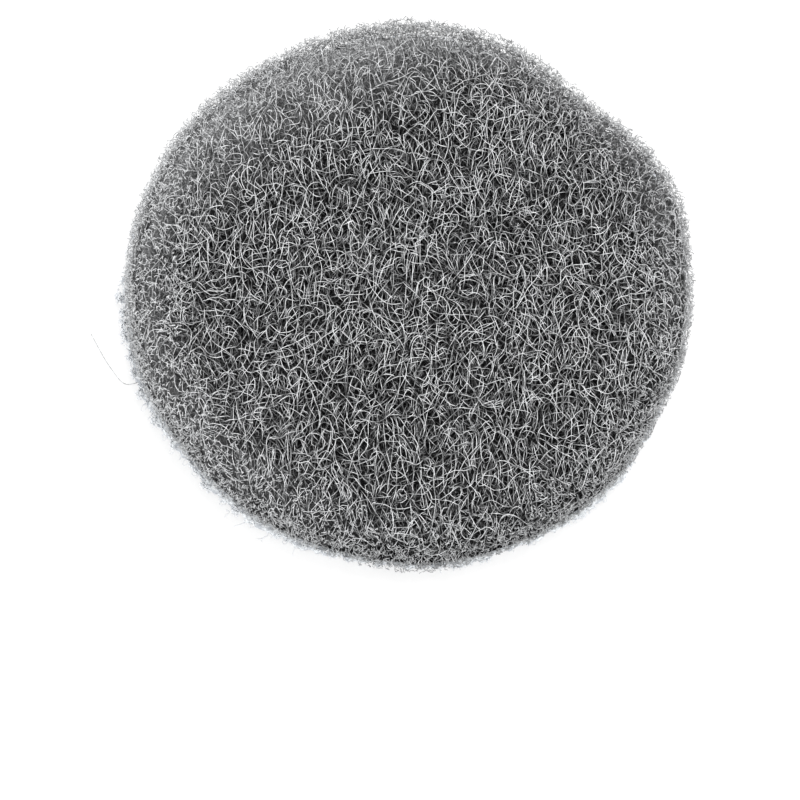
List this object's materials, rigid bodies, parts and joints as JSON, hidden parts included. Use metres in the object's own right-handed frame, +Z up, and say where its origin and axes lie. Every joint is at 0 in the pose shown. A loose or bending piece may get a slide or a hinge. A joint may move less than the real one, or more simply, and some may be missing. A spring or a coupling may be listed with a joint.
{
  "type": "sanding fleece pad",
  "caption": "Round pad of dark, open fibre fleece on a thin pale loop backing, for rubbing down and finishing surfaces by hand or on a grip plate.",
  "frame": {"origin": "middle of the underside of the loop backing, where the pad lies on the bench", "axes": "+Z up through the pad's thickness, from the loop backing to the rubbing face"},
  "size_m": [0.0507, 0.0511, 0.006],
  "materials": {
    "fleece": "matte resin-coated fibre",
    "loops": "matte knitted loops"
  },
  "bodies": {
    "root": {"fleece_web": "fleece", "loop_backing": "loops"}
  },
  "joints": []
}
